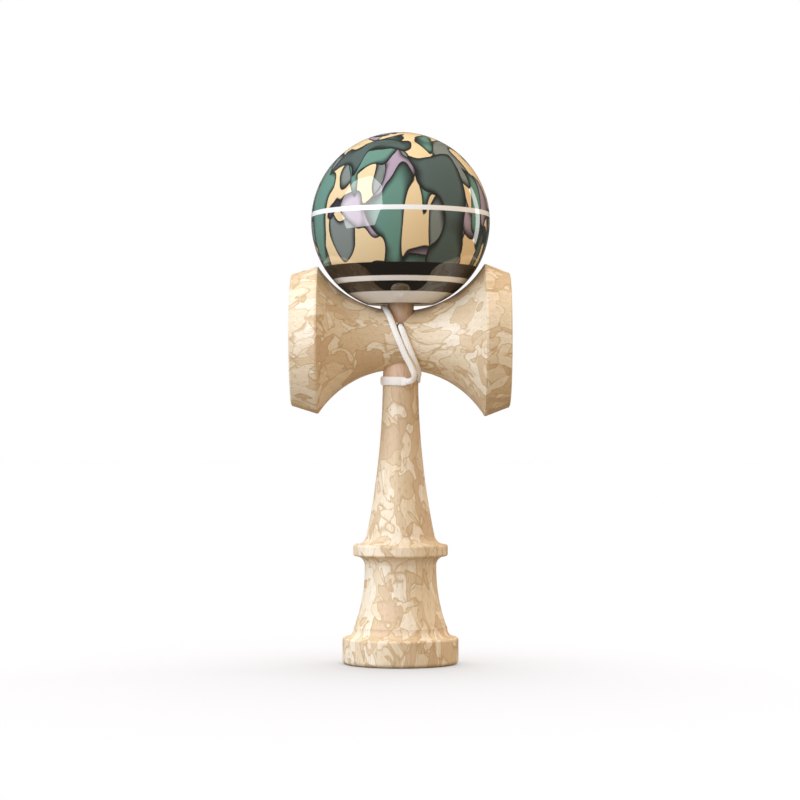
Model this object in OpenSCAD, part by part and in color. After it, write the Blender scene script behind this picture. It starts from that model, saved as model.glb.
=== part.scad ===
// Kendama: a turned handle with a spike, a cross-piece with two cups, and a ball on a string.
// Millimetres, +Z up. The origin is the middle of the base, on the surface that it stands on.
// The front, with the string hole, faces -Y, and the big cup faces +X.

/* [Ken] */
// Diameter of the base ring
base_d = 39.2; // [37:0.2:44]
// Height of the base ring
base_ring_h = 9; // [7:0.2:11]
// Opening of the cup in the underside
base_cup_d = 33.6; // [30:0.2:35]
// Radius on the base ring's upper edge
base_top_round = 0.8; // [0.4:0.1:1.4]
// Radius on the base ring's lower edge
base_foot_round = 1.4; // [0.4:0.1:1.6]
// Fillet from the base ring up to the stem
base_fillet = 3; // [1:0.1:3.4]
// Diameter of the stem above that fillet
stem_foot_d = 31.6; // [28:0.2:32.4]
// Diameter of the stem at its thinnest
stem_waist_d = 24.2; // [22:0.2:26]
// Length of the stem from its thinnest place to the flange
stem_collar_l = 4; // [1:0.1:5]
// Height of the flange's lower face
flange_z = 36.3; // [30:0.1:40]
// Thickness of the flange
flange_h = 4; // [3.2:0.1:6]
// Diameter of the flange
flange_d = 32; // [30:0.1:36]
// Radius on the flange's edges
flange_round = 0.8; // [0.4:0.1:1.4]
// Fillet from the stem out to the flange
flange_under_fillet = 3.1; // [0.6:0.1:3.4]
// Fillet from the flange up to the shaft
flange_top_fillet = 3.8; // [0.6:0.1:4]
// Diameter of the shaft above the flange
shaft_foot_d = 24.4; // [21:0.1:25]
// Diameter of the neck, just under the cross-piece
neck_d = 12; // [11:0.1:12.6]
// How far the neck's thinnest place lies under the cross-piece
neck_drop = 2.3; // [1:0.1:5]
// Diameter of the spike where it leaves the cross-piece
spike_root_d = 9.1; // [8:0.1:10]
// Diameter of the spike at its round tip
spike_tip_d = 6.4; // [4:0.1:8]
// Length of the spike above the cross-piece
spike_l = 36.7; // [30:0.1:40]

/* [Sarado] */
// Height of the cross-piece's axis
sarado_z = 109.4; // [104:0.1:116]
// Length of the cross-piece over both cups
sarado_l = 74; // [70:0.2:80]
// Diameter of the waist
waist_d = 19.8; // [18.4:0.1:22]
// Radius of the saddle that sweeps from the waist to the lips
saddle_r = 33.4; // [32.4:0.1:36]
// Diameter of the big cup's lip, where the saddle ends
big_lip_d = 51.5; // [49:0.1:53]
// Diameter of the big cup's rim, at the end of the cross-piece
big_rim_d = 46; // [44:0.1:48]
// Opening of the big cup
big_cup_d = 40.6; // [36:0.1:42]
// Diameter of the small cup's lip
small_lip_d = 49.8; // [47:0.1:51]
// Diameter of the small cup's rim
small_rim_d = 45; // [43:0.1:47]
// Opening of the small cup
small_cup_d = 38.4; // [34:0.1:40]
// Flat land on the lips
lip_land = 0.6; // [0.2:0.1:1.5]
// Radius on the rims' outer edge
rim_round = 0.9; // [0.3:0.1:1.4]
// Height of the string hole above the cross-piece's axis
string_hole_rise = 4.4; // [2:0.1:6]
// Angle between the sides of the string notch
notch_angle = 88; // [60:1:110]

/* [Tama] */
// Diameter of the ball
tama_d = 60.6; // [58:0.2:63]
// Diameter of the bore
bore_d = 21.6; // [18:0.1:24]
// Width of the bevel at the bore's mouth
mouth_bevel = 0.6; // [0.3:0.1:1.5]
// Point angle of the bore's end
bore_point_angle = 140; // [110:1:160]
// Diameter of the string hole at the top
top_hole_d = 3.6; // [2.6:0.1:5]
// Depth of the countersink on the string hole
top_sink = 1.8; // [0.6:0.1:3]

/* [String] */
// Diameter of the string
cord_d = 1.7; // [1.4:0.1:1.8]
// Diameter of the bead inside the ball
bead_d = 7; // [5:0.1:9]
// Diameter of a stop knot
knot_d = 4.2; // [3.8:0.1:4.4]

/* [Fits] */
// Clearance between the ken's taper and its seat
seat_gap = 0.03; // [0.01:0.01:0.1]
// Clearance under the ball where it rests on the saddle
rest_gap = 0.2; // [0.1:0.05:0.8]
// Clearance round the string in its holes
cord_gap = 0.35; // [0.2:0.05:0.45]
// Clearance round a stop knot in its recess
knot_gap = 0.35; // [0.1:0.05:0.4]
// Clearance between the ball and the cup that catches it
cup_gap = 0.5; // [0.2:0.1:1]

/* [Hidden] */
$fn = 96;

// Colours of the wood, the lacquered ball, the string and the bead
wood_colour = "#E3CBA4";
ball_colour = "#6F8A74";
string_colour = "#EFEAE0";
bead_colour = "#D9B98A";

// One overrun for all cuts, and one overlap for shapes that are joined
overrun = 2;
overlap = 0.5;

// Ken: radii and heights
base_r = base_d / 2;
stem_foot_z = base_ring_h + base_fillet;
stem_waist_z = flange_z - stem_collar_l;
flange_top_z = flange_z + flange_h;
waist_r = waist_d / 2;
neck_r = neck_d / 2;
neck_z = sarado_z - waist_r - neck_drop;
spike_root_z = sarado_z + waist_r;
spike_tip_z = spike_root_z + spike_l;
spike_root_r = spike_root_d / 2;
spike_tip_r = spike_tip_d / 2;

// A ball in a cup touches all round, so every cup is a part of one sphere
cup_r = tama_d / 2 + cup_gap;

// Sarado: where the saddle meets a lip of the given diameter
function lip_x(lip_d) = sqrt(pow(saddle_r, 2) - pow(waist_r + saddle_r - lip_d / 2, 2));
// Height of the saddle above the axis at a distance from the middle
function saddle_rise(x) = waist_r + saddle_r - sqrt(pow(saddle_r, 2) - x * x);

// String hole, in the ken and in the cross-piece
string_z = sarado_z + string_hole_rise;
string_hole_d = cord_d + 2 * cord_gap;
cord_r = cord_d / 2;
knot_l = 2 * cord_d;
// The recess in the ken's back holds the knot, whose inner end is just behind the axis
knot_recess_y = 1;
knot_y = knot_recess_y + knot_gap;

// Tama: the mouth's edge rests on the saddle at both sides of the waist
tama_r = tama_d / 2;
bore_r = bore_d / 2;
mouth_r = bore_r + mouth_bevel;
mouth_drop = sqrt(pow(tama_r, 2) - pow(mouth_r, 2));
tama_z = sarado_z + saddle_rise(mouth_r) + mouth_drop + rest_gap;
// Over the spike's tip come the knot, the bead and the bore's end
tip_gap = 0.6;
bead_knot_z = spike_tip_z + tip_gap;
bead_z = bead_knot_z + knot_l + bead_d / 2;
bore_point_h = bore_r / tan(bore_point_angle / 2);
bore_end_z = bead_z + (bead_d / 2 + rest_gap) / sin(bore_point_angle / 2);
top_hole_r = top_hole_d / 2;

// String: from the knot in the ken out of the front, down to the neck, once round it as a turn that
// the last part hooks over, up across the front, and over the saddle to the back
cord_sides = 8;
tie_in = [[0, 1.35, 113.8], [0, -3, 113.8], [0, -7, 113.8], [0.1, -10.2, 113.5], [0.7, -11.3, 112],
          [1.7, -11.2, 109.2], [2.9, -10.8, 106.2], [4.1, -9.7, 103.2], [5.3, -8, 100.4],
          [6.5, -5.6, 98]];
turn_r = 7.05;
turn_from = -20;
turn_angle = 295;
turn_rings = 24;
turn_start_z = 96.5;
turn_fall = 1.3;
tie_out = [[2.9, -7.9, 95.2], [4.5, -8.8, 96], [4.6, -9.7, 97.7], [3.4, -10.2, 100.2],
           [1.7, -10.8, 103.4], [0.35, -11.2, 106.6], [-0.95, -11.2, 109.8], [-2.2, -10.5, 113],
           [-3.3, -8.8, 116.2], [-4.4, -6.2, 118.8], [-5.2, -3.4, 120.3], [-5.7, -0.4, 120.9],
           [-5.7, 3.4, 120.6], [-5.3, 7.2, 118.8], [-4.6, 10, 116], [-4.2, 11.3, 113.2],
           [-4.2, 11.3, 111.4]];
// The slack hangs behind the ken as one long loop, up to the widest place of the ball's back
slack = [[-4.2, 11.3, 111.4], [-4.2, 11.3, 109.4], [-3.6, 11.5, 104], [-2.8, 11.7, 96], [-2.2, 11.9, 87],
         [-1.7, 12.2, 78], [-1.3, 12.7, 69], [-1, 13.6, 60.5], [-0.7, 15.3, 53.4], [-0.4, 18.2, 48.2],
         [-0.1, 21.8, 46.4], [0.1, 25.4, 48.2], [0.2, 28.4, 53.4], [0.3, 30.2, 60.5], [0.3, 31, 69],
         [0.3, 31.4, 80], [0.3, 31.5, 92], [0.2, 31.5, 104], [0.1, 31.5, 116], [0, 31.5, 128],
         [0, 31.5, 139], [0, 31.5, 149.4]];
// Over the back of the ball, in at its top and down through the bead
riser = [[0, 31.5, 149.4], [0, 31.5, 151.4], [0, 30.6, 157.4], [0, 28.6, 162.9], [0, 25.4, 168.1],
         [0, 21.2, 172.8], [0, 16, 176.7], [0, 10.3, 179.3], [0, 6.5, 180.4], [0, 3.9, 180.7],
         [0, 2, 180], [0, 0.7, 178.4], [0, 0.1, 176.3], [0, 0, 173.8], [0, 0, 168], [0, 0, 160]];

function turn_point(i) =
    let (share = i / (turn_rings - 1), a = turn_from + turn_angle * share)
    [turn_r * cos(a), turn_r * sin(a), turn_start_z - turn_fall * share];
turn = [for (i = [0 : turn_rings - 1]) turn_point(i)];
tie = concat(tie_in, turn, tie_out);

// Radius of the arc that leaves a column upright at its waist and widens by rise over the run
function sweep_arc(rise, run) = (run * run + rise * rise) / (2 * rise);
// Radius of such a column at a height
function sweep_r(foot_r, foot_z, thin_r, thin_z, z) =
    let (arc = sweep_arc(foot_r - thin_r, thin_z - foot_z))
    thin_r + arc - sqrt(arc * arc - pow(thin_z - z, 2));

// Tube along a route: the rings turn as little as they can from one to the next
function unit(v) = v / norm(v);
function route_heading(p, i) =
    i == 0 ? unit(p[1] - p[0]) :
    i == len(p) - 1 ? unit(p[i] - p[i - 1]) :
    unit(unit(p[i + 1] - p[i]) + unit(p[i] - p[i - 1]));
function square_to(v, heading) = unit(v - (v * heading) * heading);
function ring_sides(p, side, i = 0) =
    i == len(p) ? [] :
    let (s = square_to(side, route_heading(p, i)))
    concat([s], ring_sides(p, s, i + 1));
function any_side(heading) = abs(heading[0]) < abs(heading[2]) ? [1, 0, 0] : [0, 0, 1];

module tube(route, d) {
    sides = ring_sides(route, any_side(route_heading(route, 0)));
    points = [for (i = [0 : len(route) - 1], k = [0 : cord_sides - 1])
        let (a = 360 * k / cord_sides, other = cross(route_heading(route, i), sides[i]))
        route[i] + d / 2 * (cos(a) * sides[i] + sin(a) * other)];
    last = len(points) - cord_sides;
    caps = [for (k = [1 : cord_sides - 2], end = [0, 1])
        end == 0 ? [0, k, k + 1] : [last, last + k + 1, last + k]];
    walls = [for (i = [0 : len(route) - 2], k = [0 : cord_sides - 1], half = [0, 1])
        let (a = i * cord_sides + k, b = i * cord_sides + (k + 1) % cord_sides)
        half == 0 ? [a, a + cord_sides, b] : [b, a + cord_sides, b + cord_sides]];
    polyhedron(points, concat(caps, walls));
}

// Least gap between stretches of one route that lie further apart along it than they bend
gap_steps = 6;
gap_skip_share = 5;
function fine_route(p) = [for (i = [0 : len(p) - 2], k = [0 : gap_steps - 1])
    p[i] + (p[i + 1] - p[i]) * k / gap_steps];
function run_lengths(p, i = 0, sum = 0) =
    i == len(p) ? [] :
    concat([sum], run_lengths(p, i + 1, i == len(p) - 1 ? sum : sum + norm(p[i + 1] - p[i])));
function route_length(p) = run_lengths(p)[len(p) - 1];
function least_gap(p) =
    let (f = fine_route(p), run = run_lengths(f))
    min([for (i = [0 : len(f) - 1], j = [i + 1 : 1 : len(f) - 1])
        if (run[j] - run[i] > gap_skip_share * cord_d) norm(f[i] - f[j])]) - cord_d;
echo(str("string length: ", route_length(tie) + route_length(slack) + route_length(riser)));
echo(str("least gap of the tied string to itself: ", least_gap(tie)));

// Half-sections, with the radius along X and the height along Y

module right_half(r, low, high) {
    intersection() {
        children();
        translate([0, low])
            square([r, high - low]);
    }
}

module round_edged_disc(r, z, h, foot_round, top_round) {
    translate([0, z + foot_round])
        square([r, h - foot_round - top_round]);
    translate([0, z])
        square([r - max(foot_round, top_round), h]);
    translate([r - foot_round, z + foot_round])
        circle(foot_round);
    translate([r - top_round, z + h - top_round])
        circle(top_round);
}

module swept_column(foot_r, foot_z, thin_r, thin_z, top_z) {
    arc = sweep_arc(foot_r - thin_r, thin_z - foot_z);
    difference() {
        translate([0, foot_z])
            square([foot_r, top_z - foot_z]);
        translate([thin_r + arc, thin_z])
            circle(arc, $fn = 360);
    }
}

// Fillet in the corner at (r, z) between a column and a face under it, or over it if up is -1
module corner_fillet(r, z, fillet, up = 1) {
    translate([r, z])
        scale([1, up])
            difference() {
                translate([-overlap, -overlap])
                    square([fillet + overlap, fillet + overlap]);
                translate([fillet, fillet])
                    circle(fillet);
            }
}

module ken_profile() {
    shaft_fillet_r = sweep_r(shaft_foot_d / 2, flange_top_z, neck_r, neck_z,
                             flange_top_z + flange_top_fillet);
    cup_centre = sqrt(pow(cup_r, 2) - pow(base_cup_d / 2, 2));
    difference() {
        union() {
            round_edged_disc(base_r, 0, base_ring_h, base_foot_round, base_top_round);
            translate([0, base_ring_h - overlap])
                square([stem_foot_d / 2, base_fillet + 2 * overlap]);
            corner_fillet(stem_foot_d / 2, base_ring_h, base_fillet);
            swept_column(stem_foot_d / 2, stem_foot_z, stem_waist_d / 2, stem_waist_z, flange_z + overlap);
            corner_fillet(stem_waist_d / 2, flange_z, flange_under_fillet, -1);
            round_edged_disc(flange_d / 2, flange_z, flange_h, flange_round, flange_round);
            corner_fillet(shaft_fillet_r, flange_top_z, flange_top_fillet);
            swept_column(shaft_foot_d / 2, flange_top_z - overlap, neck_r, neck_z, neck_z);
            polygon([[0, neck_z - overlap], [neck_r, neck_z - overlap], [neck_r, neck_z],
                     [spike_root_r, spike_root_z], [spike_tip_r, spike_tip_z - spike_tip_r],
                     [0, spike_tip_z - spike_tip_r]]);
            right_half(spike_tip_r, spike_tip_z - spike_tip_d, spike_tip_z)
                translate([0, spike_tip_z - spike_tip_r])
                    circle(spike_tip_r);
        }
        translate([0, -cup_centre])
            circle(cup_r, $fn = 180);
    }
}

// One end of the cross-piece: its tapered rim, with the axis along Y
module cup_end_profile(lip_d, rim_d) {
    end = sarado_l / 2;
    polygon([[0, 0], [lip_d / 2, 0], [lip_d / 2, lip_x(lip_d) + lip_land],
             [rim_d / 2, end - rim_round], [rim_d / 2 - rim_round, end], [0, end]]);
    translate([rim_d / 2 - rim_round, end - rim_round])
        circle(rim_round);
}

module cup_hollow(cup_d) {
    translate([0, sarado_l / 2 + sqrt(pow(cup_r, 2) - pow(cup_d / 2, 2))])
        circle(cup_r, $fn = 180);
}

module sarado_profile() {
    difference() {
        union() {
            cup_end_profile(big_lip_d, big_rim_d);
            mirror([0, 1])
                cup_end_profile(small_lip_d, small_rim_d);
        }
        translate([waist_r + saddle_r, 0])
            circle(saddle_r, $fn = 240);
        cup_hollow(big_cup_d);
        mirror([0, 1])
            cup_hollow(small_cup_d);
    }
}

module tama_profile() {
    bore_end = bore_end_z - tama_z;
    difference() {
        right_half(tama_r, -tama_r, tama_r)
            circle(tama_r, $fn = 180);
        polygon([[0, -tama_r - overrun], [mouth_r, -tama_r - overrun], [mouth_r, -mouth_drop],
                 [bore_r, mouth_bevel - mouth_drop], [bore_r, bore_end - bore_point_h], [0, bore_end]]);
        translate([0, bore_end - bore_point_h])
            square([top_hole_r, tama_d]);
        polygon([[0, tama_r - top_sink], [top_hole_r, tama_r - top_sink],
                 [top_hole_r + top_sink + overrun, tama_r + overrun], [0, tama_r + overrun]]);
    }
}

// A stop knot: two turns of the string drawn tight, standing on its flat end
module knot() {
    core_r = (knot_d - cord_d) / 2;
    rotate_extrude() {
        square([core_r, knot_l]);
        for (layer = [0, 1])
            translate([core_r, cord_r + layer * cord_d])
                circle(cord_r);
    }
}

module ken() {
    color(wood_colour)
        difference() {
            rotate_extrude()
                ken_profile();
            translate([0, 0, string_z])
                rotate([90, 0, 0])
                    cylinder(h = neck_d + overrun, d = string_hole_d, center = true);
            translate([0, knot_recess_y, string_z])
                rotate([-90, 0, 0])
                    cylinder(h = neck_d, d = knot_d + 2 * knot_gap);
        }
}

module sarado() {
    seat_h = spike_root_z - neck_z;
    seat_slope = (neck_r - spike_root_r) / seat_h;
    notch_h = waist_r + overrun - string_hole_rise;
    notch_w = notch_h * tan(notch_angle / 2);
    color(wood_colour)
        difference() {
            translate([0, 0, sarado_z])
                rotate([0, 90, 0])
                    rotate_extrude()
                        sarado_profile();
            // Tapered seat for the ken, right through
            translate([0, 0, neck_z])
                cylinder(h = seat_h + overrun, r1 = neck_r + seat_gap,
                         r2 = spike_root_r + seat_gap - overrun * seat_slope);
            // String hole in the front, and the notch from it up to the spike
            translate([0, 0, string_z])
                rotate([90, 0, 0])
                    cylinder(h = waist_d, d = string_hole_d);
            translate([0, 0, string_z])
                rotate([90, 0, 0])
                    linear_extrude(waist_d)
                        polygon([[0, 0], [notch_w, notch_h], [-notch_w, notch_h]]);
        }
}

module tama() {
    color(ball_colour)
        translate([0, 0, tama_z])
            rotate_extrude()
                tama_profile();
}

module string_tie() { color(string_colour) tube(tie, cord_d); }

module string_slack() { color(string_colour) tube(slack, cord_d); }

module string_riser() { color(string_colour) tube(riser, cord_d); }

module ken_knot() {
    color(string_colour)
        translate([0, knot_y, string_z])
            rotate([-90, 0, 0])
                knot();
}

module bead() {
    color(bead_colour)
        translate([0, 0, bead_z])
            rotate_extrude()
                difference() {
                    right_half(bead_d / 2, -bead_d / 2, bead_d / 2)
                        circle(bead_d / 2);
                    translate([0, -bead_d / 2])
                        square([string_hole_d / 2, bead_d]);
                }
}

module bead_knot() {
    color(string_colour)
        translate([0, 0, bead_knot_z])
            knot();
}

ken();
sarado();
tama();
string_tie();
string_slack();
string_riser();
ken_knot();
bead();
bead_knot();
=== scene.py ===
# Kendama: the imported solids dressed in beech, lacquer and braided string, in a white studio.
# Metres, +Z up, with the string hole to the front (-Y) and the big cup to the right (+X).
import math

import bmesh
import bpy
import numpy as np
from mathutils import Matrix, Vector


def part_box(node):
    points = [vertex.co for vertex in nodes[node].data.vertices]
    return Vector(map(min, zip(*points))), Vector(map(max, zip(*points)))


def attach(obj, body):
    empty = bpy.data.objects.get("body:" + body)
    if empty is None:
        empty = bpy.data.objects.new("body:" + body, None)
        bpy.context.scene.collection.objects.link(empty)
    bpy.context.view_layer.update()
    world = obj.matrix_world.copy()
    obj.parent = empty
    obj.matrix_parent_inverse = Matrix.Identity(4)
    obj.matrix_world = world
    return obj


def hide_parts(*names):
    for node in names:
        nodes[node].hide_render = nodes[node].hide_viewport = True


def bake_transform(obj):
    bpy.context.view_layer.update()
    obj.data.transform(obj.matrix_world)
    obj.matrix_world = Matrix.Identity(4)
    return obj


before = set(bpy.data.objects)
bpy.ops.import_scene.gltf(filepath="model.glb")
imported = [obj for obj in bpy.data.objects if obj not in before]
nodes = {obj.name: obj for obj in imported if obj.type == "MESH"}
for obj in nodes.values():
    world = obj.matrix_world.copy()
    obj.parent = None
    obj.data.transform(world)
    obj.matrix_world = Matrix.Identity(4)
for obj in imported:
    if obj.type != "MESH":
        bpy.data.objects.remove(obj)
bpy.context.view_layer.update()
scene = bpy.context.scene


# Studio: a white table in a white room, lit from above and by an eight-sided softbox at the left
# front, with a strip at the right back. The camera stands level with the shaft and looks slightly up.

mm = 0.001
photo_side_px = 800
photo_px_mm = 0.3388
camera_back_mm = 800
camera_height_mm = 72
camera_aim_mm = 89.1
camera_side_mm = -0.17


def linear(hex_colour):
    """The linear colour, with alpha, of an sRGB hex value."""
    channels = [int(hex_colour[i:i + 2], 16) / 255 for i in (1, 3, 5)]
    return [c / 12.92 if c <= 0.04045 else ((c + 0.055) / 1.055) ** 2.4 for c in channels] + [1.0]


def add_node(tree, kind, settings=None, links=None):
    """A shader node with its settings, and its inputs fed by other sockets.
    A setting is a property, or an input by name or number: a Map Range has its value at 0 and its ends
    at 1 to 4, and a Mix has its share at 0 and its two colours at 6 and 7."""
    made = tree.nodes.new(kind)
    for key, value in (settings or {}).items():
        if isinstance(key, str) and hasattr(made, key):
            setattr(made, key, value)
        else:
            made.inputs[key].default_value = value
    for key, source in (links or {}).items():
        tree.links.new(source, made.inputs[key])
    return made


def new_material(name):
    """An empty node material and its tree."""
    material = bpy.data.materials.new(name)
    material.use_nodes = True
    material.node_tree.nodes.clear()
    return material, material.node_tree


def object_of(name, bm):
    """A new object in the scene from a bmesh, which is freed."""
    mesh = bpy.data.meshes.new(name)
    bm.to_mesh(mesh)
    bm.free()
    made = bpy.data.objects.new(name, mesh)
    scene.collection.objects.link(made)
    return made


def aim(thing, place, target):
    """Puts a camera or light at a place and turns it to a target, both in metres."""
    thing.location = place
    thing.rotation_euler = (Vector(target) - Vector(place)).to_track_quat("-Z", "Y").to_euler()


camera = bpy.data.objects.new("camera", bpy.data.cameras.new("camera"))
scene.collection.objects.link(camera)
scene.camera = camera
aim(camera, (camera_side_mm * mm, -camera_back_mm * mm, camera_height_mm * mm),
    (camera_side_mm * mm, 0, camera_aim_mm * mm))
camera.data.lens = camera.data.sensor_width * camera_back_mm / (photo_side_px * photo_px_mm)

scene.view_settings.view_transform = "Standard"

# The room is white to the eye, lights the object a little warmer, and shows far less in the lacquer,
# as a room with dark flags round the object does
room_seen = 1.0
room_light = 1.08
room_gloss = 0.12
room = bpy.data.worlds.new("white_room")
scene.world = room
room.use_nodes = True
tree = room.node_tree
tree.nodes.clear()
eye = add_node(tree, "ShaderNodeLightPath")
cast = add_node(tree, "ShaderNodeBackground", {"Color": linear("#FFF3E8"), "Strength": room_light})
gloss = add_node(tree, "ShaderNodeBackground", {"Color": linear("#FFFFFF"), "Strength": room_gloss})
seen = add_node(tree, "ShaderNodeBackground", {"Color": linear("#FFFFFF"), "Strength": room_seen})
dimmed = add_node(tree, "ShaderNodeMixShader", None,
                  {0: eye.outputs["Is Glossy Ray"], 1: cast.outputs[0], 2: gloss.outputs[0]})
both = add_node(tree, "ShaderNodeMixShader", None,
                {0: eye.outputs["Is Camera Ray"], 1: dimmed.outputs[0], 2: seen.outputs[0]})
add_node(tree, "ShaderNodeOutputWorld", None, {"Surface": both.outputs[0]})

# Matt white sheet that glows a little. It gives the eye a white floor with a soft contact shadow. It
# throws less light up, as grey cloth round a small sheet does, so that undersides stay darker than
# tops, and it is painted dark grey where the lacquer reflects it, a painted dark reflection
table_side = 30.0
table_glow = 0.055
bm = bmesh.new()
bmesh.ops.create_grid(bm, x_segments=1, y_segments=1, size=table_side / 2)
table = object_of("light_table", bm)
material, tree = new_material("glowing_white_table")
eye = add_node(tree, "ShaderNodeLightPath")
strength = add_node(tree, "ShaderNodeMath", {"operation": "MULTIPLY", 1: table_glow},
                    {0: eye.outputs["Is Camera Ray"]})
glow = add_node(tree, "ShaderNodeEmission", None, {"Strength": strength.outputs[0]})
sheet = add_node(tree, "ShaderNodeMix",
                 {"data_type": "RGBA", 6: linear("#9A968F"), 7: linear("#C9CED5")},
                 {0: eye.outputs["Is Camera Ray"]})
# Painted dark reflection: the sheet shows dark grey in rays from the lacquer
painted_dark_reflection = add_node(tree, "ShaderNodeMix", {"data_type": "RGBA", 7: linear("#4A4743")},
                {0: eye.outputs["Is Glossy Ray"], 6: sheet.outputs[2]})
top = add_node(tree, "ShaderNodeBsdfDiffuse", None, {"Color": painted_dark_reflection.outputs[2]})
lit_top = add_node(tree, "ShaderNodeAddShader", None, {0: glow.outputs[0], 1: top.outputs[0]})
add_node(tree, "ShaderNodeOutputMaterial", None, {"Surface": lit_top.outputs[0]})
table.data.materials.append(material)


def lamp(name, kind, power, place, target, settings):
    """A studio lamp at a place, turned to a target."""
    made = bpy.data.objects.new(name, bpy.data.lights.new(name, kind))
    made.data.energy = power
    for key, value in settings.items():
        setattr(made.data, key, value)
    scene.collection.objects.link(made)
    aim(made, place, target)
    return made


table_middle = (0, 0, 0)
part_middle = (0, 0, 0.09)
ball_middle = (0, 0, 0.15)
softbox_way = Vector((-0.760, -0.575, 0.300))
softbox_off = 0.9
softbox_place = Vector(ball_middle) + softbox_way * softbox_off

overhead = lamp("overhead_bank", "SUN", power=1.9, place=(0, 0.4, 1.0), target=table_middle,
                settings={"angle": math.radians(80)})
overhead.visible_glossy = False
key = lamp("key_softbox", "AREA", power=13.0, place=softbox_place, target=part_middle,
           settings={"shape": "RECTANGLE", "size": 0.94, "size_y": 1.3})
key.visible_glossy = False
key.data.color = linear("#ABD0FF")[:3]
lamp("edge_strip", "AREA", power=0.5, place=(0.62, 0.30, 0.22), target=ball_middle,
     settings={"shape": "RECTANGLE", "size": 0.12, "size_y": 0.5})

# A flag keeps the key off the table, so that only the overhead light shades it
flagged = bpy.data.collections.new("flagged_from_key")
flagged.objects.link(table)
flagged.collection_objects[0].light_linking.link_state = "EXCLUDE"
key.light_linking.receiver_collection = flagged

# Backlit white nylon, the softbox's face. It gives the eye the pale eight-sided patch in the lacquer
# and a faint sheen on the wood, and shows nowhere else
softbox_sides = 8
softbox_r = 0.5
softbox_tall = 1.25
softbox_glow = 3.0
facing = softbox_way.to_track_quat("Z", "Y").to_matrix()
bm = bmesh.new()
bmesh.ops.create_circle(bm, cap_ends=True, segments=softbox_sides, radius=softbox_r)
bmesh.ops.rotate(bm, verts=bm.verts, cent=(0, 0, 0), matrix=facing)
bmesh.ops.scale(bm, verts=bm.verts, vec=(1, 1, softbox_tall))
bmesh.ops.translate(bm, verts=bm.verts, vec=softbox_place)
softbox = object_of("softbox_face", bm)
material, tree = new_material("softbox_cloth")
glow = add_node(tree, "ShaderNodeEmission", {"Strength": softbox_glow})
add_node(tree, "ShaderNodeOutputMaterial", None, {"Surface": glow.outputs[0]})
softbox.data.materials.append(material)
softbox.visible_diffuse = False
softbox.visible_camera = False
softbox.visible_shadow = False


# Ken: the handle, turned in one piece from beech, sanded and stained with a tonal blotch pattern.
# The tapered neck and the spike stay plain, where the cross-piece and the ball slide over them.

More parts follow.
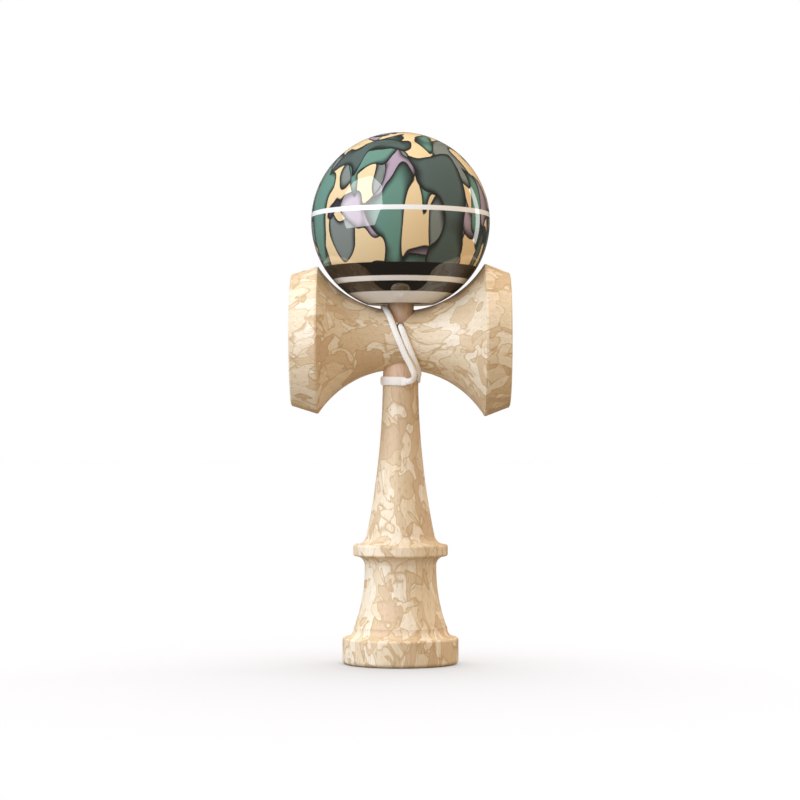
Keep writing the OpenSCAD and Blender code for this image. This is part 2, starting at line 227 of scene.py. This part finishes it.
def tonal_beech(name, grain_turn, blotch_mm, plain_above_mm):
    """Sanded beech with the grain along Z after the turn, and blotches of the given size over it.
    It gives the eye fine grain lines, soft growth rings and stains that darken towards their edges."""
    material, tree = new_material(name)
    place = add_node(tree, "ShaderNodeTexCoord").outputs["Object"]
    along = add_node(tree, "ShaderNodeMapping", {"Rotation": grain_turn, "Scale": [1 / mm] * 3},
                     {"Vector": place}).outputs[0]

    # Stains, each where its own slow noise is above a level, and darker towards its edge
    edge_blur = 0.004
    edge_fade = 0.04
    edge_tint = linear("#C7A26E")
    bare = add_node(tree, "ShaderNodeRGB")
    bare.outputs[0].default_value = linear("#E7CDA3")
    colour = bare.outputs[0]
    stains = [("#F0DCBA", (3.1, 7.7, 1.3), 0.51), ("#DDBE90", (11.2, 2.9, 5.2), 0.54),
              ("#EED6B0", (19.7, 4.4, 14.8), 0.56), ("#D6B487", (6.4, 13.1, 9.6), 0.58)]
    for tint, shift, level in stains:
        spot = add_node(tree, "ShaderNodeMapping",
                        {"Location": shift, "Scale": [1 / size for size in blotch_mm]}, {"Vector": along})
        field = add_node(tree, "ShaderNodeTexNoise",
                         {"Scale": 1.0, "Detail": 1.6, "Roughness": 0.5, "Distortion": 0.9},
                         {"Vector": spot.outputs[0]}).outputs["Fac"]
        inside = add_node(tree, "ShaderNodeMapRange", {1: level - edge_blur, 2: level + edge_blur},
                          {0: field})
        inward = add_node(tree, "ShaderNodeMapRange",
                          {"interpolation_type": "SMOOTHSTEP", 1: level, 2: level + edge_fade},
                          {0: field})
        stain = add_node(tree, "ShaderNodeMix", {"data_type": "RGBA", 6: edge_tint, 7: linear(tint)},
                         {0: inward.outputs[0]})
        colour = add_node(tree, "ShaderNodeMix", {"data_type": "RGBA"},
                          {0: inside.outputs[0], 6: colour, 7: stain.outputs[2]}).outputs[2]

    # Plain wood above the height where the stains end
    end_blur_mm = 0.2
    height = add_node(tree, "ShaderNodeSeparateXYZ", None, {0: place}).outputs["Z"]
    plain = add_node(tree, "ShaderNodeMapRange",
                     {1: (plain_above_mm - end_blur_mm) * mm, 2: (plain_above_mm + end_blur_mm) * mm},
                     {0: height})

    # Growth rings round a pith outside the blank, fibres and short flecks. A Wave of scale 1 repeats
    # after 2 pi / 20, so the scale is that over the gap of the rings
    ring_gap_mm = 2.4
    pith_mm = (38, 21, 0)
    fibre_mm = (0.35, 0.35, 9)
    fleck_mm = (0.45, 0.45, 2.6)
    ring_depth = 0.12
    fibre_depth = 0.16
    fleck_depth = 0.25
    ring_place = add_node(tree, "ShaderNodeMapping", {"Location": pith_mm}, {"Vector": along})
    rings = add_node(tree, "ShaderNodeTexWave",
                     {"wave_type": "RINGS", "rings_direction": "Z",
                      "Scale": 2 * math.pi / 20 / ring_gap_mm,
                      "Distortion": 1.6, "Detail": 2.0, "Detail Scale": 0.6},
                     {"Vector": ring_place.outputs[0]})
    fibre_place = add_node(tree, "ShaderNodeMapping", {"Scale": [1 / size for size in fibre_mm]},
                           {"Vector": along})
    fibres = add_node(tree, "ShaderNodeTexNoise", {"Scale": 1.0, "Detail": 2.0},
                      {"Vector": fibre_place.outputs[0]}).outputs["Fac"]
    fleck_place = add_node(tree, "ShaderNodeMapping", {"Scale": [1 / size for size in fleck_mm]},
                           {"Vector": along})
    flecks = add_node(tree, "ShaderNodeTexNoise", {"Scale": 1.0, "Detail": 0.0},
                      {"Vector": fleck_place.outputs[0]}).outputs["Fac"]
    ring_share = add_node(tree, "ShaderNodeMath", {"operation": "MULTIPLY", 1: ring_depth},
                          {0: rings.outputs["Fac"]})
    fibre_share = add_node(tree, "ShaderNodeMapRange", {1: 0.35, 2: 0.7, 4: fibre_depth}, {0: fibres})
    fleck_share = add_node(tree, "ShaderNodeMapRange", {1: 0.64, 2: 0.72, 4: fleck_depth}, {0: flecks})
    figure = [("#E3BB93", plain), ("#C79E6E", ring_share), ("#BC9264", fibre_share),
              ("#9C7448", fleck_share)]
    for tint, share in figure:
        colour = add_node(tree, "ShaderNodeMix", {"data_type": "RGBA", 7: linear(tint)},
                          {0: share.outputs[0], 6: colour}).outputs[2]

    rough = add_node(tree, "ShaderNodeMapRange", {1: 0.3, 2: 0.7, 3: 0.50, 4: 0.66}, {0: fibres})
    grain = add_node(tree, "ShaderNodeBump", {"Strength": 0.35, "Distance": 0.03 * mm},
                     {"Height": fibres})
    shader = add_node(tree, "ShaderNodeBsdfPrincipled", {"IOR": 1.5, "Specular IOR Level": 1.0},
                      {"Base Color": colour, "Roughness": rough.outputs[0], "Normal": grain.outputs[0]})
    add_node(tree, "ShaderNodeOutputMaterial", None, {"Surface": shader.outputs[0]})
    return material


def dress(node, material):
    """Gives a CAD node its material."""
    nodes[node].data.materials.clear()
    nodes[node].data.materials.append(material)


ken_pattern_top_mm = 96.4
ken_blotch_mm = (8.5, 8.5, 14)
dress("ken", tonal_beech("stained_beech_ken", (0, 0, 0), ken_blotch_mm, ken_pattern_top_mm))


# Sarado: the cross-piece with the two cups, turned from beech with its grain along X and pushed
# onto the ken's taper. Its hole, notch and cups are cut before the same stain goes on.

sarado_top_mm = 140
sarado_blotch_mm = (9, 9, 15)
grain_along_x = (0, -math.pi / 2, 0)
dress("sarado", tonal_beech("stained_beech_sarado", grain_along_x, sarado_blotch_mm, sarado_top_mm))


# String: one braided polyester cord. It starts at a knot inside the ken, comes out of the front,
# is hitched once round the neck, runs over the saddle to the back and hangs there in a loop.

# Widths and thicknesses of the braid: loose, drawn flat over the wood, and pressed on the neck
cord_d_mm = 1.7
loose_mm = (1.8, 1.6)
flat_mm = (2.1, 1.25)
neck_mm = (3.0, 0.75)
braid_ways = 8
braid_pitch_mm = 1.2
braid_depth_mm = 0.09
ring_step_mm = 0.2
sides_per_way = 5
turn_r_mm = 7.05
turn_from_deg = -20
turn_deg = 295
turn_points = 24
turn_start_mm = 96.5
turn_fall_mm = 1.3
sarado_axis_mm = 109.4

ken_knot_mm = (0, 1.35, 113.8)
tie_in_mm = [ken_knot_mm, (0, -3, 113.8), (0, -7, 113.8), (0.1, -10.2, 113.5), (0.7, -11.3, 112),
             (1.7, -11.2, 109.2), (2.9, -10.8, 106.2), (4.1, -9.7, 103.2), (5.3, -8, 100.4),
             (6.5, -5.6, 98)]
tie_out_mm = [(2.9, -7.9, 95.2), (4.5, -8.8, 96), (4.6, -9.7, 97.7), (3.4, -10.2, 100.2),
              (1.7, -10.8, 103.4), (0.35, -11.2, 106.6), (-0.95, -11.2, 109.8), (-2.2, -10.5, 113),
              (-3.3, -8.8, 116.2), (-4.4, -6.2, 118.8), (-5.2, -3.4, 120.3), (-5.7, -0.4, 120.9),
              (-5.7, 3.4, 120.6), (-5.3, 7.2, 118.8), (-4.6, 10, 116), (-4.2, 11.3, 113.2),
              (-4.2, 11.3, 111.4)]
slack_mm = [(-4.2, 11.3, 111.4), (-4.2, 11.3, 109.4), (-3.6, 11.5, 104), (-2.8, 11.7, 96),
            (-2.2, 11.9, 87), (-1.7, 12.2, 78), (-1.3, 12.7, 69), (-1, 13.6, 60.5), (-0.7, 15.3, 53.4),
            (-0.4, 18.2, 48.2), (-0.1, 21.8, 46.4), (0.1, 25.4, 48.2), (0.2, 28.4, 53.4),
            (0.3, 30.2, 60.5), (0.3, 31, 69), (0.3, 31.4, 80), (0.3, 31.5, 92), (0.2, 31.5, 104),
            (0.1, 31.5, 116), (0, 31.5, 128), (0, 31.5, 139), (0, 31.5, 149.4)]


def turn_point(i):
    """One point of the turn round the neck."""
    share = i / (turn_points - 1)
    angle = math.radians(turn_from_deg + turn_deg * share)
    return (turn_r_mm * math.cos(angle), turn_r_mm * math.sin(angle), turn_start_mm - turn_fall_mm * share)


def smooth_route(points, step):
    """Points a step apart on one smooth curve through the given ones."""
    steps_between = 24
    p = np.array(points, float)
    p = np.vstack([2 * p[0] - p[1], p, 2 * p[-1] - p[-2]])
    t = np.linspace(0, 1, steps_between, endpoint=False)[:, None]
    bits = []
    for a, b, c, d in zip(p, p[1:], p[2:], p[3:]):
        bits.append(0.5 * (2 * b + (c - a) * t + (2 * a - 5 * b + 4 * c - d) * t ** 2
                           + (3 * b - 3 * c + d - a) * t ** 3))
    line = np.vstack(bits + [p[-2:-1]])
    run = np.concatenate([[0], np.cumsum(np.linalg.norm(np.diff(line, axis=0), axis=1))])
    at = np.linspace(0, run[-1], round(run[-1] / step) + 1)
    return np.stack([np.interp(at, run, line[:, k]) for k in range(3)], axis=1)


def braid_height(way, other):
    """Height of the braid, from 0 to 1, where a strand crosses one that runs the other way."""
    dive = 0.55
    over = (math.floor(way) + math.floor(other)) % 2 == 0
    across, length = (way, other) if over else (other, way)
    hump = 1 - (2 * (across % 1) - 1) ** 2
    arch = math.sin(math.pi * (length % 1))
    return math.sqrt(max(hump, 0)) * (1 - dive + dive * arch)


def unit(ways):
    """Each way with a length of one."""
    return ways / np.linalg.norm(ways, axis=1)[:, None]


def braided_cord(name, line, wide_way, wide, thick):
    """A closed tube of braided cord along a line in mm, with its width along wide_way at each point."""
    weld_mm = 0.0005
    heading = unit(np.gradient(line, axis=0))
    side = unit(wide_way - heading * (wide_way * heading).sum(axis=1)[:, None])
    up = np.cross(side, heading)
    count = braid_ways * sides_per_way
    bm = bmesh.new()
    relief = bm.verts.layers.float.new("relief")
    bmesh.ops.create_grid(bm, x_segments=count, y_segments=len(line) - 1, size=0.5)
    for v in bm.verts:
        around = v.co.x + 0.5
        i = round((v.co.y + 0.5) * (len(line) - 1))
        along = i * ring_step_mm / braid_pitch_mm
        height = braid_height(around * braid_ways + along, around * braid_ways - along)
        angle = 2 * math.pi * around
        sunk = braid_depth_mm * (1 - height)
        out = (math.cos(angle) * (wide[i] / 2 - sunk) * side[i]
               + math.sin(angle) * (thick[i] / 2 - sunk) * up[i])
        v[relief] = height
        v.co = Vector((line[i] + out) * mm)
    bmesh.ops.remove_doubles(bm, verts=bm.verts, dist=weld_mm * mm)
    bmesh.ops.holes_fill(bm, edges=[e for e in bm.edges if e.is_boundary], sides=0)
    bmesh.ops.recalc_face_normals(bm, faces=bm.faces)
    for face in bm.faces:
        face.smooth = True
    made = object_of(name, bm)
    made.data.materials.append(braid_material)
    return made


# Braided off-white polyester. It gives the eye pale rounded strands, with painted shade darkening the
# valleys between them, a dull sheen and fine fuzz, which is drawn coarser than the real filaments
fuzz_mm = 0.12
braid_material, tree = new_material("braided_polyester")
height = add_node(tree, "ShaderNodeAttribute", {"attribute_name": "relief"})
# Painted shade: the yarn turns darker where the braid's relief is low, in the valleys between strands
valley_shade = add_node(tree, "ShaderNodeMapRange", {1: 0.1, 2: 0.7}, {0: height.outputs["Fac"]})
yarn_and_valley_shade = add_node(tree, "ShaderNodeMix",
                {"data_type": "RGBA", 6: linear("#D2C5B3"), 7: linear("#FFF6E7")},
                {0: valley_shade.outputs[0]})
place = add_node(tree, "ShaderNodeTexCoord").outputs["Object"]
fuzz_place = add_node(tree, "ShaderNodeMapping", {"Scale": [1 / (fuzz_mm * mm)] * 3}, {"Vector": place})
fuzz = add_node(tree, "ShaderNodeTexNoise", {"Scale": 1.0, "Detail": 2.0},
                {"Vector": fuzz_place.outputs[0]})
lift = add_node(tree, "ShaderNodeBump", {"Strength": 0.3, "Distance": 0.03 * mm},
                {"Height": fuzz.outputs["Fac"]})
shader = add_node(tree, "ShaderNodeBsdfPrincipled",
                  {"Roughness": 0.72, "Sheen Weight": 0.25, "Sheen Roughness": 0.4, "IOR": 1.5},
                  {"Base Color": yarn_and_valley_shade.outputs[2], "Normal": lift.outputs[0]})
add_node(tree, "ShaderNodeOutputMaterial", None, {"Surface": shader.outputs[0]})


def ramp(value, start, end):
    """A smooth step from 0 at start to 1 at end."""
    share = np.clip((value - start) / (end - start), 0, 1)
    return share * share * (3 - 2 * share)


# The tied stretch lies flat on the neck and then on the cross-piece, and is round inside the hole.
# Each pair is where a change begins and ends: in height, off the axis, or along the run
neck_to_sarado_mm = (97.5, 101)
onto_neck_mm = (8.0, 7.3)
under_sarado_mm = (99, 97.5)
into_hole_mm = (14, 9)
neck_press_mm = 0.12
tie_line = smooth_route(tie_in_mm + [turn_point(i) for i in range(turn_points)] + tie_out_mm, ring_step_mm)
from_axis = np.hypot(tie_line[:, 0], tie_line[:, 1])
high = ramp(tie_line[:, 2], *neck_to_sarado_mm)[:, None]
off_neck = unit(tie_line * (1, 1, 0))
off_sarado = unit((tie_line - (0, 0, sarado_axis_mm)) * (0, 1, 1))
outward = unit(off_neck * (1 - high) + off_sarado * high)
on_neck = ramp(from_axis, *onto_neck_mm) * ramp(tie_line[:, 2], *under_sarado_mm)
in_hole = ramp(np.arange(len(tie_line)) * ring_step_mm, *into_hole_mm)
tie_wide, tie_thick = (
    (flat + (neck - flat) * on_neck) * (1 - in_hole) + cord_d_mm * in_hole
    for flat, neck in zip(flat_mm, neck_mm))
pressed = (cord_d_mm - tie_thick) / 2 + neck_press_mm * on_neck
tie_line = tie_line - outward * pressed[:, None]
across_tie = np.cross(np.gradient(tie_line, axis=0), outward)
tie = braided_cord("tied_string", tie_line, across_tie, tie_wide, tie_thick)
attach(tie, "ken")
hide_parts("string_tie")


def stop_knot(name, start, way, side):
    """A stop knot of two tight turns of the cord, from a point in mm along a way."""
    knot_d_mm = 4.2
    turn_steps = 14
    steps = 2 * turn_steps
    turn_r = (knot_d_mm - cord_d_mm) / 2
    start, way, side = (np.array(x, float) for x in (start, way, side))
    other = np.cross(way, side)
    points = [start + way * cord_d_mm / 2]
    for i in range(steps + 1):
        angle = 2 * math.pi * i / turn_steps
        deep = cord_d_mm * (0.5 + i / steps)
        points.append(start + way * deep + turn_r * (math.cos(angle) * side + math.sin(angle) * other))
    points.append(start + way * cord_d_mm * 1.5)
    line = smooth_route(points, ring_step_mm)
    size = np.full(len(line), cord_d_mm)
    return braided_cord(name, line, np.tile(way, (len(line), 1)), size, size)


ken_knot = stop_knot("knot_in_ken", ken_knot_mm, (0, 1, 0), (1, 0, 0))
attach(ken_knot, "ken")
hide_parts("ken_knot")


def along_x(line):
    """The X way at each point of a line."""
    return np.tile((1.0, 0.0, 0.0), (len(line), 1))


# The slack hangs in one loop behind the ken
loose_after_mm = 12
slack_line = smooth_route(slack_mm, ring_step_mm)
loosening = ramp(np.arange(len(slack_line)) * ring_step_mm, 0, loose_after_mm)
slack_wide, slack_thick = (flat + (loose - flat) * loosening for flat, loose in zip(flat_mm, loose_mm))
slack = braided_cord("hanging_string", slack_line, along_x(slack_line), slack_wide, slack_thick)
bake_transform(slack)
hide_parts("string_slack")


# Bead: a small turned wooden bead on the string inside the ball, held by a second stop knot.
# The end of the string lies over the back of the ball and goes in at its top.

# Plain turned beech. It gives the eye a warm mid brown with short lines of grain along the hole
bead_grain_mm = (0.4, 0.4, 4)
material, tree = new_material("plain_beech_bead")
place = add_node(tree, "ShaderNodeTexCoord").outputs["Object"]
grain_place = add_node(tree, "ShaderNodeMapping", {"Scale": [1 / (size * mm) for size in bead_grain_mm]},
                       {"Vector": place})
grain = add_node(tree, "ShaderNodeTexNoise", {"Scale": 1.0, "Detail": 2.0},
                 {"Vector": grain_place.outputs[0]})
tint = add_node(tree, "ShaderNodeMix",
                {"data_type": "RGBA", 6: linear("#C99E6B"), 7: linear("#E2C298")},
                {0: grain.outputs["Fac"]})
shader = add_node(tree, "ShaderNodeBsdfPrincipled", {"Roughness": 0.5, "IOR": 1.45},
                  {"Base Color": tint.outputs[2]})
add_node(tree, "ShaderNodeOutputMaterial", None, {"Surface": shader.outputs[0]})
dress("bead", material)

bead_knot_mm = (0, 0, 160)
bead_knot = stop_knot("knot_under_bead", bead_knot_mm, (0, 0, -1), (1, 0, 0))
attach(bead_knot, "string_end")
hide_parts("bead_knot")

riser_mm = [(0, 31.5, 149.4), (0, 31.5, 151.4), (0, 30.6, 157.4), (0, 28.6, 162.9), (0, 25.4, 168.1),
            (0, 21.2, 172.8), (0, 16, 176.7), (0, 10.3, 179.3), (0, 6.5, 180.4), (0, 3.9, 180.7),
            (0, 2, 180), (0, 0.7, 178.4), (0, 0.1, 176.3), (0, 0, 173.8), (0, 0, 168), bead_knot_mm]
riser_line = smooth_route(riser_mm, ring_step_mm)
riser_wide, riser_thick = (np.full(len(riser_line), loose) for loose in loose_mm)
riser = braided_cord("string_over_ball", riser_line, along_x(riser_line), riser_wide, riser_thick)
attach(riser, "string_end")
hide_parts("string_riser")


# Tama: the ball, turned from beech, bored for the spike and drilled for the string, painted with
# camouflage patches and plain rings, and dipped in clear lacquer. The bore is near-black inside.

def camouflage_lacquer():
    """Painted beech under a hard, thick gloss lacquer. It gives the eye patches of flat paint that
    darken towards their edges, crisp rings, and clear reflections of the softbox and the cups."""
    material, tree = new_material("painted_lacquered_beech")
    place = add_node(tree, "ShaderNodeTexCoord").outputs["Object"]
    low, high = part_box("tama")
    middle = (low + high) / 2
    centred = add_node(tree, "ShaderNodeMapping",
                       {"Location": [-c / mm for c in middle], "Scale": [1 / mm] * 3},
                       {"Vector": place}).outputs[0]

    # Patches, each where its own slow noise is above a level, and black at its edge
    patch_mm = (12, 12, 27)
    edge_blur = 0.004
    edge_fade = 0.10
    edge_tint = linear("#1E1A16")
    paint = add_node(tree, "ShaderNodeRGB")
    paint.outputs[0].default_value = linear("#EAC994")
    colour = paint.outputs[0]
    patches = [("#7F8276", (99.2, 72.1, 49.2), 0.56), ("#AE969D", (103.8, 84.4, 52.7), 0.57),
               ("#678A75", (112.0, 66.3, 55.1), 0.55), ("#525E55", (97.5, 77.2, 66.9), 0.585)]
    for tint, shift, level in patches:
        spot = add_node(tree, "ShaderNodeMapping",
                        {"Location": shift, "Scale": [1 / size for size in patch_mm]},
                        {"Vector": centred})
        field = add_node(tree, "ShaderNodeTexNoise",
                         {"Scale": 1.0, "Detail": 0.6, "Roughness": 0.4, "Distortion": 0.7},
                         {"Vector": spot.outputs[0]}).outputs["Fac"]
        inside = add_node(tree, "ShaderNodeMapRange", {1: level - edge_blur, 2: level + edge_blur},
                          {0: field})
        inward = add_node(tree, "ShaderNodeMapRange",
                          {"interpolation_type": "SMOOTHSTEP", 1: level, 2: level + edge_fade},
                          {0: field})
        patch = add_node(tree, "ShaderNodeMix", {"data_type": "RGBA", 6: edge_tint, 7: linear(tint)},
                         {0: inward.outputs[0]})
        colour = add_node(tree, "ShaderNodeMix", {"data_type": "RGBA"},
                          {0: inside.outputs[0], 6: colour, 7: patch.outputs[2]}).outputs[2]

    # Rings, each from a bottom to a top in mm from the ball's middle
    blur_mm = 0.1
    rings = [("#F7F0E3", 0.2, 1.8), ("#140F0C", -31.0, -16.6), ("#F7F0E3", -22.4, -20.8),
             ("#E4E0D8", -31.0, -25.6)]
    height = add_node(tree, "ShaderNodeSeparateXYZ", None, {0: centred}).outputs["Z"]
    for tint, bottom, top in rings:
        above = add_node(tree, "ShaderNodeMapRange", {1: bottom - blur_mm, 2: bottom + blur_mm},
                         {0: height})
        below = add_node(tree, "ShaderNodeMapRange",
                         {1: top - blur_mm, 2: top + blur_mm, 3: 1.0, 4: 0.0}, {0: height})
        band = add_node(tree, "ShaderNodeMath", {"operation": "MULTIPLY"},
                        {0: above.outputs[0], 1: below.outputs[0]})
        colour = add_node(tree, "ShaderNodeMix", {"data_type": "RGBA", 7: linear(tint)},
                          {0: band.outputs[0], 6: colour}).outputs[2]

    # Paint and lacquer on the skin and in the string hole's mouth, and near-black in the bore
    skin_mm = 29.4
    crown_mm = 24.1
    reach = add_node(tree, "ShaderNodeVectorMath", {"operation": "LENGTH"}, {0: centred}).outputs["Value"]
    skin = add_node(tree, "ShaderNodeMapRange", {1: skin_mm - blur_mm, 2: skin_mm + blur_mm}, {0: reach})
    crown = add_node(tree, "ShaderNodeMapRange", {1: crown_mm - blur_mm, 2: crown_mm + blur_mm},
                     {0: height})
    outside = add_node(tree, "ShaderNodeMath", {"operation": "MAXIMUM"},
                       {0: skin.outputs[0], 1: crown.outputs[0]}).outputs[0]
    colour = add_node(tree, "ShaderNodeMix", {"data_type": "RGBA", 6: linear("#1C1612")},
                      {0: outside, 7: colour}).outputs[2]
    shader = add_node(tree, "ShaderNodeBsdfPrincipled",
                      {"Roughness": 0.5, "Specular IOR Level": 0.0, "Coat Roughness": 0.02,
                       "Coat IOR": 2.0},
                      {"Base Color": colour, "Coat Weight": outside})
    add_node(tree, "ShaderNodeOutputMaterial", None, {"Surface": shader.outputs[0]})
    return material


dress("tama", camouflage_lacquer())
